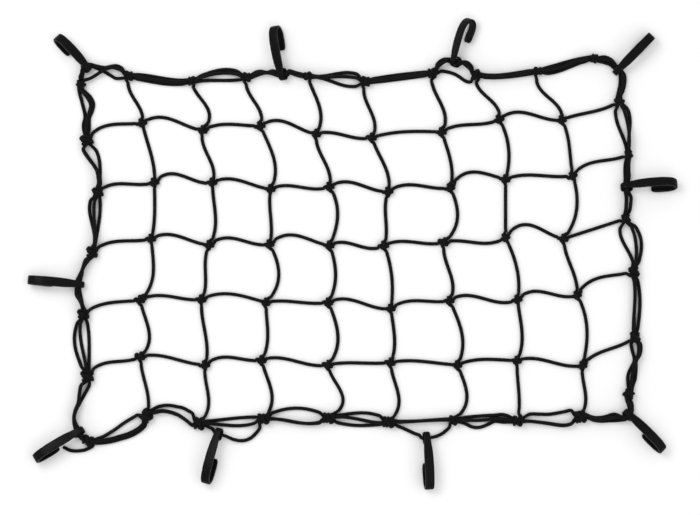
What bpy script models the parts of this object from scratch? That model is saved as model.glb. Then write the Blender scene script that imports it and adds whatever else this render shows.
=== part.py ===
# Cargo net of black elastic cord with ten plastic hooks, spread out flat on a floor.
#
# One knotted netting of nine by six meshes, one border cord that goes round it twice and is
# tied at the bottom left corner, the short cut tail of that cord, and ten hooks on the border.
# Metres, +Z up, the longest side along X.

import math

import bmesh
import bpy
from mathutils import Matrix, Vector

# Driving dimensions.
millimetre = 0.001
cord_width = 0.0055
cord_sides = 5
clearance = 0.0003
knot_reach = 0.0078
knot_room = 0.0090
lashing_width = 0.0180
lashing_length = 0.0130
lashing_height = 0.0172
lashing_floor = 0.0030
tie_size = 0.0170
hook_length = 0.0937
hook_height = 0.0270
hook_thickness = 0.0045
hook_width = 0.0145
hook_eye_width = 0.0100
hook_return = 0.0430
eye_length = 0.0205
eye_height = 0.0180
eye_wall = 0.0030
tail_width = 0.0055
highest_free = 0.0150
cord_slope = 0.5
closest_rings = 0.0050

# What the tables below are centred on, in millimetres.
table_centre = (-0.6, 5.15)

# A five-sided cord has the area of the round one and lies on one flat side.
ring_radius = cord_width / 2 * math.sqrt(math.pi / (2.5 * math.sin(math.radians(72))))
lying_height = ring_radius * math.cos(math.radians(36))
cord_spacing = 2 * ring_radius + 0.00006
tunnel_radius = ring_radius + clearance / math.cos(math.radians(36))
lashing_way_radius = tunnel_radius + 0.0001
side_spacing = 2 * ring_radius * math.sin(math.radians(72)) + clearance
bottom_height = lashing_floor + lying_height
top_height = bottom_height + math.sqrt(cord_spacing ** 2 - (side_spacing / 2) ** 2)

# Mesh knots in millimetres, a line for each row from the top, eight knots from the left.
mesh_knots = (
    ((-347, 216), (-247, 204), (-152, 211), (-60, 198), (32, 192), (147, 201), (242, 222), (345, 221)),
    ((-327, 118), (-231, 118), (-135, 107), (-38, 111), (59, 103), (161, 109), (252, 123), (363, 129)),
    ((-332, 25), (-236, 15), (-137, 16), (-38, 14), (52, 14), (151, 19), (252, 27), (348, 25)),
    ((-350, -76), (-249, -75), (-143, -80), (-40, -80), (63, -90), (160, -77), (272, -75), (370, -68)),
    ((-349, -169), (-243, -183), (-150, -175), (-40, -183), (63, -179), (173, -183), (271, -176),
     (379, -184)),
)

# How far each stretch bows to its left at one third and two thirds, in millimetres.
# Rows run from left to right and columns from top to bottom.
row_bows = (
    ((13, 8), (13, 6), (7, 4), (13, 6), (3, -2), (5, 4), (4, -1), (12, 4), (-1, -4)),
    ((8, 2), (14, 4), (9, 4), (4, -2), (10, 3), (9, 3), (20, 14), (5, 1), (9, 3)),
    ((9, 4), (10, 4), (11, 3), (16, 9), (4, -4), (5, 0), (-1, -7), (22, 12), (0, 0)),
    ((8, 5), (7, 2), (11, 8), (2, -1), (8, 1), (8, 3), (7, -3), (11, 2), (13, 8)),
    ((10, 3), (5, 1), (10, 4), (5, -1), (2, 0), (4, 2), (6, 4), (5, -1), (5, 0)),
)
column_bows = (
    ((-5, 2), (2, 4), (2, 3), (9, 13), (8, 14), (1, 6)),
    ((6, 16), (-3, 4), (4, 8), (-3, 2), (0, 4), (5, 12)),
    ((-3, 5), (9, 13), (-1, 2), (15, 17), (4, 7), (9, 15)),
    ((7, 12), (-2, 4), (12, 11), (9, 10), (12, 15), (12, 24)),
    ((-3, 6), (3, 7), (-3, 1), (6, 6), (4, 6), (8, 16)),
    ((0, 9), (5, 7), (14, 16), (0, 7), (10, 13), (14, 19)),
    ((-5, 4), (9, 9), (0, 0), (7, 8), (5, 8), (1, 3)),
    ((-9, 2), (4, 2), (12, 13), (-1, 3), (11, 10), (2, 0)),
)

# Border lashings clockwise: name and centre in millimetres.
lashings = (
    ("T1", -369, 293), ("T2", -265, 285), ("T3", -175, 291), ("T4", -74, 293), ("T5", 21, 284),
    ("T6", 130, 298), ("T7", 203, 295), ("T8", 305, 302), ("T9", 398, 322),
    ("R1", 439, 252), ("R2", 455, 164), ("R3", 450, 58), ("R4", 463, -30), ("R5", 465, -137),
    ("R6", 454, -231),
    ("B8", 371, -268), ("B7", 275, -275), ("B6", 165, -274), ("B5", 56, -277), ("B4", -41, -271),
    ("B3", -149, -272), ("B2", -251, -279), ("B1", -339, -268),
    ("L6", -438, -308), ("L5", -438, -201), ("L4", -445, -98), ("L3", -429, 3), ("L2", -420, 102),
    ("L1", -438, 188), ("L0", -448, 280),
)
tie_name = "L6"

# Each border stretch: how far outward its three cords lie at one third and two thirds.
# The netting's own edge cord first, then the outer and the second round of the border cord.
edge_bows = {
    "T1": ((-3, -3), (4, 4), (0, 0)),
    "T2": ((0, -1), (12, 15), (8, 9)),
    "T3": ((1, 1), (8, 9), (4, 5)),
    "T4": ((-3, -10), (4, 12), (0, 3)),
    "T5": ((-3, -3), (4, 4), (0, 0)),
    "T6": ((4, -7), (25, 25), (18, 18)),
    "T7": ((-7, -4), (-1, 3), (-5, -2)),
    "T8": ((-9, -8), (5, 7), (1, 2)),
    "R1": ((-9, -4), (13, 8), (6, 5)),
    "R2": ((-3, -2), (4, 8), (0, -1)),
    "R3": ((-13, -2), (20, 17), (10, 10)),
    "R4": ((1, -1), (10, 8), (2, 1)),
    "R5": ((5, -2), (11, 9), (6, 4)),
    "B8": ((-6, -8), (11, 4), (9, 1)),
    "B7": ((-10, -8), (2, 11), (-1, -1)),
    "B6": ((-2, -1), (27, 17), (1, 1)),
    "B5": ((-12, -9), (8, 9), (1, -3)),
    "B4": ((-15, -15), (9, 3), (4, -1)),
    "B3": ((-3, -3), (34, 20), (9, 5)),
    "B2": ((-20, -20), (-2, -11), (-4, -13)),
    "B1": ((-5, 4), (19, 14), (14, 10)),
    "L6": ((17, 3), (24, 15), (20, 11)),
    "L5": ((-4, -6), (15, 16), (5, 7)),
    "L4": ((12, 8), (19, 15), (15, 11)),
    "L3": ((-6, -6), (2, 10), (-2, 2)),
    "L2": ((-10, -14), (-4, 6), (-7, 4)),
    "L1": ((-8, -13), (2, 0), (-4, -9)),
}

# Round a corner the same three cords pass these points, in millimetres.
corner_routes = {
    "T9": (
        ((418, 312), (440, 288), (438, 270)),
        ((412, 326), (430, 320), (449, 294), (448, 272)),
        ((415, 319), (431, 313), (445, 288), (443, 270)),
    ),
    "R6": (
        ((448, -243), (430, -262), (411, -268), (391, -267)),
        ((463, -248), (434, -278), (412, -277), (390, -276)),
        ((458, -247), (436, -271), (412, -272), (391, -272)),
    ),
    "L0": (
        ((-441, 286), (-406, 296), (-390, 289)),
        ((-451, 292), (-417, 310), (-403, 308), (-386, 306)),
        ((-446, 289), (-415, 304), (-401, 302), (-386, 300)),
    ),
}

# Hooks: lashing before it, outer end and inner end of the eye in millimetres, lean to the left
# in degrees, and which of the three border cords run through the eye.
hooks = (
    ("hook_top_left", "L0", (-488, 360), (-423, 292), -19, (0, 1, 2)),
    ("hook_top_west", "T3", (-130, 378), (-115, 286), 27, (0, 1, 2)),
    ("hook_top_east", "T6", (196, 394), (165, 306), 36, (1, 2)),
    ("hook_top_right", "T9", (493, 360), (430, 295), 0, (0, 1, 2)),
    ("hook_right", "R2", (535, 118), (441, 110), 27, (0, 1, 2)),
    ("hook_bottom_right", "R6", (513, -325), (447, -258), 16, (0, 1, 2)),
    ("hook_bottom_east", "B6", (125, -387), (121, -293), 15, (1,)),
    ("hook_bottom_west", "B3", (-242, -379), (-219, -287), -19, (1,)),
    ("hook_bottom_left", "L6", (-522, -338), (-443, -288), -16, (0, 1, 2)),
    ("hook_left", "L4", (-536, -43), (-442, -51), -5, (0, 1, 2)),
)

# The cut end of the border cord, from the tie outward, in millimetres: x, y and height.
tail_line = ((-430, -318, 4.0), (-441, -323, 2.8), (-454, -325, 2.8), (-466, -324, 2.8), (-476, -319, 2.8))


def spot(x, y, height=0.0):
    return Vector(((x - table_centre[0]) * millimetre, (y - table_centre[1]) * millimetre, height))


def left_of(direction):
    return Vector((-direction.y, direction.x, 0.0)).normalized()


def clear_scene():
    for thing in list(bpy.data.objects):
        bpy.data.objects.remove(thing, do_unlink=True)


def new_collection(name):
    collection = bpy.data.collections.new(name)
    bpy.context.scene.collection.children.link(collection)
    return collection


def new_material(name, grey, roughness):
    material = bpy.data.materials.new(name)
    material.use_nodes = True
    surface = material.node_tree.nodes["Principled BSDF"]
    surface.inputs["Base Color"].default_value = (grey, grey, grey, 1.0)
    surface.inputs["Roughness"].default_value = roughness
    surface.inputs["Metallic"].default_value = 0.0
    return material


def add_object(name, shape, collection, grey=0.02, roughness=0.8):
    mesh = bpy.data.meshes.new(name)
    bmesh.ops.recalc_face_normals(shape, faces=shape.faces)
    shape.to_mesh(mesh)
    shape.free()
    thing = bpy.data.objects.new(name, mesh)
    collection.objects.link(thing)
    mesh.materials.append(new_material(name, grey, roughness))
    return thing


# A smooth offset through four values at 0, 1/3, 2/3 and 1.
def four_point(values, t):
    start, third, two_thirds, end = values
    total = -4.5 * (t - 1 / 3) * (t - 2 / 3) * (t - 1) * start
    total += 13.5 * t * (t - 2 / 3) * (t - 1) * third
    total -= 13.5 * t * (t - 1 / 3) * (t - 1) * two_thirds
    total += 4.5 * t * (t - 1 / 3) * (t - 2 / 3) * end
    return total


def bowed_point(start, end, bows, t, ends=(0.0, 0.0)):
    offset = four_point((ends[0], bows[0] * millimetre, bows[1] * millimetre, ends[1]), t)
    point = start.lerp(end, t) + left_of(end - start) * offset
    return point


# A stretch that bows further is drawn in more pieces.
def segments_for(bows, slight, strong):
    reach = max(abs(bow) for bow in bows)
    return 3 if reach <= slight else 4 if reach <= strong else 5


# Corners of a cord's section, square to the way it runs.
def cord_section(centre, direction, radius):
    side = direction.cross(Vector((0, 0, 1))).normalized()
    upward = side.cross(direction).normalized()
    corners = []
    for step in range(cord_sides):
        angle = math.radians(90) + 2 * math.pi * step / cord_sides
        corners.append(centre + side * (radius * math.cos(angle)) + upward * (radius * math.sin(angle)))
    return corners


def add_ring(shape, corners):
    return [shape.verts.new(corner) for corner in corners]


def join_rings(shape, first, second):
    for step in range(cord_sides):
        following = (step + 1) % cord_sides
        shape.faces.new((first[step], first[following], second[following], second[step]))


# The way a cord runs at each of its points.
def directions_along(points, closed=False):
    result = []
    count = len(points)
    for index, point in enumerate(points):
        before = points[index - 1] if index > 0 or closed else point
        after = points[(index + 1) % count] if index < count - 1 or closed else point
        result.append((after - point).normalized() + (point - before).normalized())
    return [direction.normalized() for direction in result]


def cord_shape(points, radius, closed=False):
    shape = bmesh.new()
    rings = []
    for point, direction in zip(points, directions_along(points, closed)):
        rings.append(add_ring(shape, cord_section(point, direction, radius)))
    for first, second in zip(rings, rings[1:]):
        join_rings(shape, first, second)
    if closed:
        join_rings(shape, rings[-1], rings[0])
    else:
        shape.faces.new(rings[0])
        shape.faces.new(rings[-1])
    return shape


# Hooks. The outline is drawn from the side: x from the eye to the bend, y up.
def hook_outline():
    bend_start = hook_length - 0.0215
    bend_middle = hook_height / 2
    outer_reach = hook_length - bend_start
    inner_reach = outer_reach - hook_thickness
    inner_rise = bend_middle - hook_thickness
    shank_start = 0.0130
    shank_bow = 0.0012
    tip = hook_length - hook_return
    corner = 0.0055

    outline = [(eye_length - corner / 2, 0.0), (corner, 0.0)]
    outline += [(corner * 0.3, corner * 0.3), (0.0, corner), (0.0, eye_height - corner)]
    outline += [(corner * 0.3, eye_height - corner * 0.3), (corner, eye_height)]
    for step in range(4):
        t = step / 4
        rise = eye_height + (hook_height - eye_height) * t
        outline.append((shank_start + (bend_start - shank_start) * t, rise + shank_bow * math.sin(math.pi * t)))
    for step in range(9):
        angle = math.radians(90 - 22.5 * step)
        outline.append((bend_start + outer_reach * math.cos(angle), bend_middle * (1 + math.sin(angle))))
    outline += [(tip + 0.0012, 0.0), (tip, 0.0012), (tip, hook_thickness - 0.0012)]
    outline.append((tip + 0.0012, hook_thickness))
    for step in range(9):
        angle = math.radians(-90 + 22.5 * step)
        outline.append((bend_start + inner_reach * math.cos(angle), bend_middle + inner_rise * math.sin(angle)))
    shank_end = eye_length + 0.0030
    under_eye = eye_height - hook_thickness + 0.0009
    for step in range(1, 4):
        t = 1 - step / 4
        rise = under_eye + (hook_height - hook_thickness - under_eye) * t
        outline.append((shank_end + (bend_start - shank_end) * t, rise + shank_bow * math.sin(math.pi * t)))
    outline += [(shank_end, under_eye), (eye_length, under_eye - 0.0035), (eye_length, corner / 2)]
    return outline


def eye_outline():
    corner = 0.0012
    left = eye_wall
    right = eye_length - eye_wall
    low = eye_wall
    high = eye_height - eye_wall
    return [
        (left + corner, low), (right - corner, low), (right, low + corner), (right, high - corner),
        (right - corner, high), (left + corner, high), (left, high - corner), (left, low + corner),
    ]


# The strip is narrow at the eye and widens to its full width before the middle of the shank.
def strip_width(x):
    t = min(max((x - 0.012) / 0.038, 0.0), 1.0)
    return hook_eye_width + (hook_width - hook_eye_width) * t * t * (3 - 2 * t)


def hook_shape():
    curve = bpy.data.curves.new("hook_side", "CURVE")
    curve.dimensions = "2D"
    curve.fill_mode = "BOTH"
    curve.extrude = 0.5
    for outline in (hook_outline(), eye_outline()):
        spline = curve.splines.new("POLY")
        spline.points.add(len(outline) - 1)
        for point, corner in zip(spline.points, outline):
            point.co = (corner[0], corner[1], 0.0, 1.0)
        spline.use_cyclic_u = True
    holder = bpy.data.objects.new("hook_side", curve)
    bpy.context.scene.collection.objects.link(holder)
    mesh = bpy.data.meshes.new_from_object(holder)
    bpy.data.objects.remove(holder, do_unlink=True)
    shape = bmesh.new()
    shape.from_mesh(mesh)
    bmesh.ops.remove_doubles(shape, verts=shape.verts, dist=0.00001)
    for corner in shape.verts:
        corner.co = (corner.co.x, corner.co.z * strip_width(corner.co.x), corner.co.y)
    return shape


# Where a hook stands: turned to its heading, leaning, with its lowest edge on the floor.
def hook_placing(outer, inner, lean, shape):
    inner_end = spot(*inner)
    heading = (spot(*outer) - inner_end).normalized()
    turn = Matrix.Rotation(math.atan2(heading.y, heading.x), 4, "Z")
    tilt = Matrix.Rotation(math.radians(-lean), 4, "X")
    eye = Vector((eye_length / 2, 0.0, eye_height / 2))
    upright = turn @ tilt @ Matrix.Translation(-eye)
    lowest = min((upright @ corner.co).z for corner in shape.verts)
    centre = inner_end + heading * (eye_length / 2) - Vector((0, 0, lowest))
    return Matrix.Translation(centre) @ upright, centre, heading, turn @ tilt


# Where the cords pass through an eye: along the hook and up from the eye's middle. Two lie
# side by side on the eye's floor and a third lies on both of them.
def places_in_eye(held):
    rest = eye_wall - eye_height / 2 + clearance + lying_height
    if len(held) == 1:
        return {held[0]: (0.0, rest)}
    apart = side_spacing / 2 + 0.0003
    if len(held) == 2:
        return {held[0]: (apart, rest), held[1]: (-apart, rest)}
    middle = -0.0004
    upper = rest + math.sqrt(cord_spacing ** 2 - apart ** 2)
    return {0: (middle - apart, rest), 1: (middle + apart, rest), 2: (middle, upper)}


# The two points where a cord enters and leaves the eye.
def points_at_eye(hook, cord):
    along, up = hook["places"][cord]
    reach = hook_eye_width / 2 + 0.0024
    local = (Vector((along, reach, up)), Vector((along, -reach, up)))
    return [hook["centre"] + hook["turn"].to_3x3() @ point for point in local]


def read_hooks():
    found = []
    shape = hook_shape()
    for name, after, outer, inner, lean, held in hooks:
        placing, centre, heading, turn = hook_placing(outer, inner, lean, shape)
        found.append({
            "name": name, "after": after, "held": held, "placing": placing, "centre": centre,
            "heading": heading, "turn": turn, "places": places_in_eye(held),
        })
    shape.free()
    return found


# Border geometry: where each lashing stands and which way the edge runs there.
def read_lashings():
    found = []
    count = len(lashings)
    for index, (name, x, y) in enumerate(lashings):
        before = lashings[index - 1]
        after = lashings[(index + 1) % count]
        along = (spot(after[1], after[2]) - spot(before[1], before[2])).normalized()
        found.append({"name": name, "centre": spot(x, y), "along": along, "outward": left_of(along)})
    return found


across_lashing = (-side_spacing / 2, side_spacing / 2, 0.0)
lashing_heights = (lying_height, bottom_height, top_height)


# One cord of the border as a closed list of stations: point, whether its height is settled,
# and the lashing it belongs to, if any.
def border_stations(cord, places, hooked):
    stations = []
    count = len(places)
    for index, place in enumerate(places):
        following = places[(index + 1) % count]
        point = place["centre"] + place["outward"] * across_lashing[cord]
        point.z = lashing_heights[cord]
        stations.append({"point": point, "fixed": True, "lashing": place["name"]})
        name = place["name"]
        if name in corner_routes:
            line = [spot(*corner) for corner in corner_routes[name][cord]]
        else:
            bows = edge_bows[name][cord]
            steps = segments_for(bows, 9, 18)
            ends = (across_lashing[cord], across_lashing[cord])
            line = []
            for step in range(1, steps):
                line.append(bowed_point(place["centre"], following["centre"], bows, step / steps, ends))
        free = [{"point": spot_point, "fixed": False, "lashing": None} for spot_point in line]
        for station in free:
            station["point"].z = lying_height
        for hook in hooked:
            if hook["after"] == name and cord in hook["held"]:
                free = thread_eye(free, hook, cord)
        stations += free
    return stations


def thread_eye(free, hook, cord):
    forward = -left_of(hook["heading"])
    room = hook_eye_width / 2 + 0.0080
    before = [item for item in free if (item["point"] - hook["centre"]).dot(forward) < -room]
    after = [item for item in free if (item["point"] - hook["centre"]).dot(forward) > room]
    middle = [{"point": point, "fixed": True, "lashing": None} for point in points_at_eye(hook, cord)]
    for near, held in ((before[-1:], middle[0]), (after[:1], middle[1])):
        for station in near:
            run = (station["point"] - held["point"]).xy.length
            station["point"].z = max(lying_height, held["point"].z - cord_slope * run)
    return before + middle + after


# The lowest a cord may run at a point so that it lies over the cords below it.
def needed_height(point, lower_lines):
    needed = lying_height
    for line in lower_lines:
        for first, second in zip(line, line[1:] + line[:1]):
            run = Vector((second.x - first.x, second.y - first.y))
            away = Vector((point.x - first.x, point.y - first.y))
            t = min(max(away.dot(run) / run.length_squared, 0.0), 1.0)
            gap = (away - run * t).length
            if gap < cord_spacing:
                height = first.z + (second.z - first.z) * t
                needed = max(needed, height + math.sqrt(cord_spacing ** 2 - gap ** 2))
    return needed


# Raises the free stations of a cord until it clears the cords below it.
def settle_over(stations, lower_lines):
    count = len(stations)
    samples = 6
    for index in range(count):
        first = stations[index]
        second = stations[(index + 1) % count]
        for step in range(1, samples):
            t = step / samples
            point = first["point"].lerp(second["point"], t)
            if first["fixed"] and second["fixed"]:
                continue
            missing = needed_height(point, lower_lines) - point.z
            if missing <= 0:
                continue
            for station, share in ((first, 1 - t), (second, t)):
                if not station["fixed"] and share > 0.3:
                    station["point"].z = min(station["point"].z + missing, highest_free)


def settle_border(places, hooked):
    cords = [border_stations(cord, places, hooked) for cord in range(3)]
    lines = [[item["point"] for item in cord] for cord in cords]
    settle_over(cords[1], lines[:1])
    for item in cords[2]:
        if not item["fixed"]:
            item["point"].z = max(item["point"].z, needed_height(item["point"], lines[:2]))
    settle_over(cords[2], lines[:2])
    return cords


# A ring where a cord enters a knot; it moves out until it is the outermost part that way.
def knot_rings(entries, body_points):
    reaches = [entry["reach"] for entry in entries]
    for attempt in range(60):
        rings = []
        for entry, reach in zip(entries, reaches):
            centre = entry["anchor"] + entry["direction"] * reach
            direction = entry["direction"] * entry["sense"]
            rings.append(cord_section(centre, direction, ring_radius))
        blocked = set()
        for index, entry in enumerate(entries):
            face = entry["anchor"] + entry["direction"] * reaches[index]
            others = [corner for other, ring in enumerate(rings) if other != index for corner in ring]
            if any((corner - face).dot(entry["direction"]) > -0.0004 for corner in others + body_points):
                blocked.add(index)
        if not blocked:
            return rings
        for index in blocked:
            reaches[index] += 0.0005
    raise ValueError("a knot's cords run too close together")


# The body of a knot: the hull of the cord rings and the bulges between them.
def add_knot(shape, entries, body_points):
    rings = [add_ring(shape, ring) for ring in knot_rings(entries, body_points)]
    bulges = [shape.verts.new(point) for point in body_points]
    corners = bulges + [corner for ring in rings for corner in ring]
    hull = bmesh.ops.convex_hull(shape, input=corners, use_existing_faces=False)
    hull_faces = [item for item in hull["geom"] if isinstance(item, bmesh.types.BMFace)]
    ring_sets = [set(ring) for ring in rings]
    openings = []
    for face in hull_faces:
        if any(set(face.verts) <= ring for ring in ring_sets):
            openings.append(face)
    bmesh.ops.delete(shape, geom=openings, context="FACES")
    unused = [corner for corner in bulges if corner.is_valid and not corner.link_faces]
    bmesh.ops.delete(shape, geom=unused, context="VERTS")
    return rings


# Bulges of a mesh knot: along, across and up, in millimetres.
mesh_knot_bulges = (
    (-5.6, -5.6, 2.6), (-4.4, -4.4, 9.2), (-4.6, 4.6, 3.6), (4.4, 4.4, 4.2), (-1.4, 3.2, 11.0),
    (3.0, -2.4, 10.2),
)


def mesh_knot_points(centre):
    return [centre + Vector(bulge) * millimetre for bulge in mesh_knot_bulges]


# Outline of a lashing seen along the edge: share of its half width, share of its height.
lashing_outline = ((-0.75, 0.0), (0.85, 0.0), (1.0, 0.42), (0.50, 1.0), (-0.56, 1.0), (-1.0, 0.36))


def lashing_points(place):
    points = []
    for end in (-1, 1):
        for across, up in lashing_outline:
            point = place["centre"] + place["along"] * (end * lashing_length / 2)
            point = point + place["outward"] * (across * lashing_width / 2)
            points.append(point + Vector((0, 0, up * lashing_height)))
    return points


# The way through each lashing for the border cord's two rounds.
def lashing_ways(cords):
    shape = bmesh.new()
    reach = lashing_length / 2 + 0.0100
    for cord_pair in zip(*[lashing_stations(cords[number]) for number in (1, 2)]):
        corners = []
        for before, middle, after in cord_pair:
            for end in (before, after):
                point = middle + (end - middle) * min(reach / (end - middle).length, 1.0)
                corners += cord_section(point, (end - middle).normalized(), lashing_way_radius)
            corners += cord_section(middle, (after - before).normalized(), lashing_way_radius)
        points = add_ring(shape, corners)
        hull = bmesh.ops.convex_hull(shape, input=points, use_existing_faces=False)
        kept = set(item for item in hull["geom"] if isinstance(item, bmesh.types.BMVert))
        bmesh.ops.delete(shape, geom=[point for point in points if point not in kept], context="VERTS")
    return shape


# Each lashing but the tie, with the stations on both sides of it.
def lashing_stations(stations):
    found = []
    for index, item in enumerate(stations):
        if item["lashing"] not in (None, tie_name):
            after = stations[(index + 1) % len(stations)]
            found.append((stations[index - 1]["point"], item["point"], after["point"]))
    return found


# The stretches of the netting between its knots.
def read_stretches(places):
    edge = {place["name"]: place["centre"] for place in places}
    stretches = []
    for row, line in enumerate(mesh_knots):
        names = ["L%d" % (row + 1)] + [(row, column) for column in range(8)] + ["R%d" % (row + 1)]
        points = [edge[names[0]]] + [spot(*corner) for corner in line] + [edge[names[-1]]]
        for step in range(9):
            stretches.append((names[step], names[step + 1], points[step], points[step + 1], row_bows[row][step]))
    for column in range(8):
        names = ["T%d" % (column + 1)] + [(row, column) for row in range(5)] + ["B%d" % (column + 1)]
        points = [edge[names[0]]] + [spot(*line[column]) for line in mesh_knots] + [edge[names[-1]]]
        for step in range(6):
            bows = column_bows[column][step]
            stretches.append((names[step], names[step + 1], points[step], points[step + 1], bows))
    return stretches


def netting_lines(places, edge_cord):
    lines = []
    for first, last, start, end, bows in read_stretches(places):
        steps = segments_for(bows, 6, 14) - 1
        begin = knot_room / (end - start).length
        inner = []
        for step in range(1, steps):
            t = begin + (1 - 2 * begin) * step / steps
            inner.append(bowed_point(start, end, bows, t))
        near_start = bowed_point(start, end, bows, 1.6 * begin)
        near_end = bowed_point(start, end, bows, 1 - 1.6 * begin)
        lines.append({"ends": (first, last), "anchors": (start, end), "near": (near_start, near_end),
                      "inner": inner})
    # The edge cord between each two lashings; at the tie it runs straight through.
    corners = [index for index, item in enumerate(edge_cord) if item["lashing"] not in (None, tie_name)]
    for first, last in zip(corners, corners[1:] + [corners[0] + len(edge_cord)]):
        inner = [edge_cord[index % len(edge_cord)]["point"].copy() for index in range(first + 1, last)]
        anchors = (edge_cord[first]["point"], edge_cord[last % len(edge_cord)]["point"])
        ends = (edge_cord[first]["lashing"], edge_cord[last % len(edge_cord)]["lashing"])
        lines.append({"ends": ends, "anchors": anchors, "near": (inner[0], inner[-1]), "inner": inner})
    for line in lines:
        for point in line["inner"]:
            point.z = max(point.z, lying_height)
    return lines


def add_netting(places, edge_cord):
    shape = bmesh.new()
    lines = netting_lines(places, edge_cord)
    entries = {}
    for number, line in enumerate(lines):
        for end in (0, 1):
            anchor = line["anchors"][end].copy()
            anchor.z = lying_height
            toward = line["near"][end] - anchor
            toward.z = 0.0
            name = line["ends"][end]
            reach = knot_reach if isinstance(name, tuple) else lashing_length / 2 + 0.0015
            entries.setdefault(name, []).append({
                "line": number, "end": end, "anchor": anchor, "direction": toward.normalized(),
                "sense": 1 if end == 0 else -1, "reach": reach,
            })
    by_name = {place["name"]: place for place in places}
    rings = {}
    for name, joined in entries.items():
        if isinstance(name, tuple):
            body = mesh_knot_points(spot(*mesh_knots[name[0]][name[1]]))
        else:
            body = lashing_points(by_name[name])
        for entry, ring in zip(joined, add_knot(shape, joined, body)):
            rings[(entry["line"], entry["end"])] = ring
    for number, line in enumerate(lines):
        first = rings[(number, 0)]
        last = rings[(number, 1)]
        first_centre = sum((corner.co for corner in first), Vector()) / cord_sides
        last_centre = sum((corner.co for corner in last), Vector()) / cord_sides
        middle = [point for point in line["inner"] if (point - first_centre).length > closest_rings]
        middle = [point for point in middle if (point - last_centre).length > closest_rings]
        points = [first_centre] + middle + [last_centre]
        ways = directions_along(points)
        previous = first
        for point, way in zip(points[1:-1], ways[1:-1]):
            ring = add_ring(shape, cord_section(point, way, ring_radius))
            join_rings(shape, previous, ring)
            previous = ring
        join_rings(shape, previous, last)
    return shape


# The tie at the corner: a round lump that holds the cord's ends.
def tie_shape(place):
    shape = bmesh.new()
    bmesh.ops.create_icosphere(shape, subdivisions=2, radius=0.5)
    for corner in shape.verts:
        x = corner.co.x * (tie_size + 0.005)
        y = corner.co.y * tie_size
        z = max(corner.co.z, -0.38) * lashing_height / 0.88 + 0.38 * lashing_height / 0.88
        corner.co = place["centre"] + place["along"] * x + place["outward"] * y + Vector((0, 0, z))
    return shape


def cut(target, cutter):
    step = target.modifiers.new(cutter.name, "BOOLEAN")
    step.operation = "DIFFERENCE"
    step.solver = "EXACT"
    step.object = cutter


def merge(target, other):
    step = target.modifiers.new(other.name, "BOOLEAN")
    step.operation = "UNION"
    step.solver = "EXACT"
    step.object = other


def add_tail(parts):
    curve = bpy.data.curves.new("cord_tail", "CURVE")
    curve.dimensions = "3D"
    curve.bevel_depth = tail_width / 2
    curve.bevel_resolution = 2
    curve.use_fill_caps = True
    spline = curve.splines.new("POLY")
    spline.points.add(len(tail_line) - 1)
    for point, (x, y, up) in zip(spline.points, tail_line):
        place = spot(x, y, up * millimetre)
        point.co = (place.x, place.y, place.z, 1.0)
    thing = bpy.data.objects.new("cord_tail", curve)
    parts.objects.link(thing)
    curve.materials.append(new_material("cord_tail", 0.02, 0.8))


def build():
    clear_scene()
    parts = new_collection("cargo_net")
    cutters = new_collection("cutters")
    places = read_lashings()
    hooked = read_hooks()
    cords = settle_border(places, hooked)
    tie_place = next(place for place in places if place["name"] == tie_name)

    netting = add_object("netting", add_netting(places, cords[0]), parts)
    cut(netting, add_object("lashing_ways", lashing_ways(cords), cutters))
    lines = [[item["point"] for item in cord] for cord in cords]
    cut(netting, add_object("outer_way", cord_shape(lines[1], tunnel_radius, True), cutters))
    cut(netting, add_object("second_way", cord_shape(lines[2], tunnel_radius, True), cutters))

    border = add_object("border_cord", cord_shape(lines[1], ring_radius, True), parts)
    merge(border, add_object("second_round", cord_shape(lines[2], ring_radius, True), cutters))
    merge(border, add_object("tie", tie_shape(tie_place), cutters))
    cut(border, add_object("edge_way", cord_shape(lines[0], tunnel_radius, True), cutters))
    for cutter in cutters.objects:
        cutter.hide_render = True
        cutter.display_type = "WIRE"

    for hook in hooked:
        shape = hook_shape()
        bmesh.ops.transform(shape, matrix=hook["placing"], verts=shape.verts)
        add_object(hook["name"], shape, parts, grey=0.03, roughness=0.45)
    add_tail(parts)


build()
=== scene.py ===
import math
import random

import bmesh
import bpy
import numpy as np
from mathutils import Matrix, Vector


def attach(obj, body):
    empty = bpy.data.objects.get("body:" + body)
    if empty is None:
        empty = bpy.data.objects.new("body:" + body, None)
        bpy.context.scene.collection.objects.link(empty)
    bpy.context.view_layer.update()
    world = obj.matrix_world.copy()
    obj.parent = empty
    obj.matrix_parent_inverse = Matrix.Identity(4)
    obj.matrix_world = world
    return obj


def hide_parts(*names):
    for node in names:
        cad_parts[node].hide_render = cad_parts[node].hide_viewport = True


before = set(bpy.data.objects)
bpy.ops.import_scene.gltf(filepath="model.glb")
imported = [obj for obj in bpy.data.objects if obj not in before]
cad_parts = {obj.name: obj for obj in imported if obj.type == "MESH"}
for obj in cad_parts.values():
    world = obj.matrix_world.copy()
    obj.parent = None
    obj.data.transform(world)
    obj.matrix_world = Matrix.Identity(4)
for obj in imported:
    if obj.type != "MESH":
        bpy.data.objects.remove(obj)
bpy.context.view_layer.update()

# Elastic cargo net with ten plastic hooks, spread out flat.
# Paths are worked out in millimetres, as x, y, z and what else a cord needs, and made in metres.
millimetre = 0.001
tableCentre = (-0.6, 5.15)  # the tables of places are centred on this point


def newObject(name, data):
    made = bpy.data.objects.new(name, data)
    bpy.context.scene.collection.objects.link(made)
    return made


def newTree(name, kind, given, made):
    tree = bpy.data.node_groups.new(name, kind)
    for way, sockets in (("INPUT", given), ("OUTPUT", made)):
        for label, value in sockets:
            tree.interface.new_socket(label, in_out=way, socket_type="NodeSocket" + value)
    return tree, tree.nodes.new("NodeGroupInput"), tree.nodes.new("NodeGroupOutput")


cameraSet = {"centre": (-0.0039, -0.0111), "height": 6.0, "width": 1.155, "sensor": 36.0}


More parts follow.
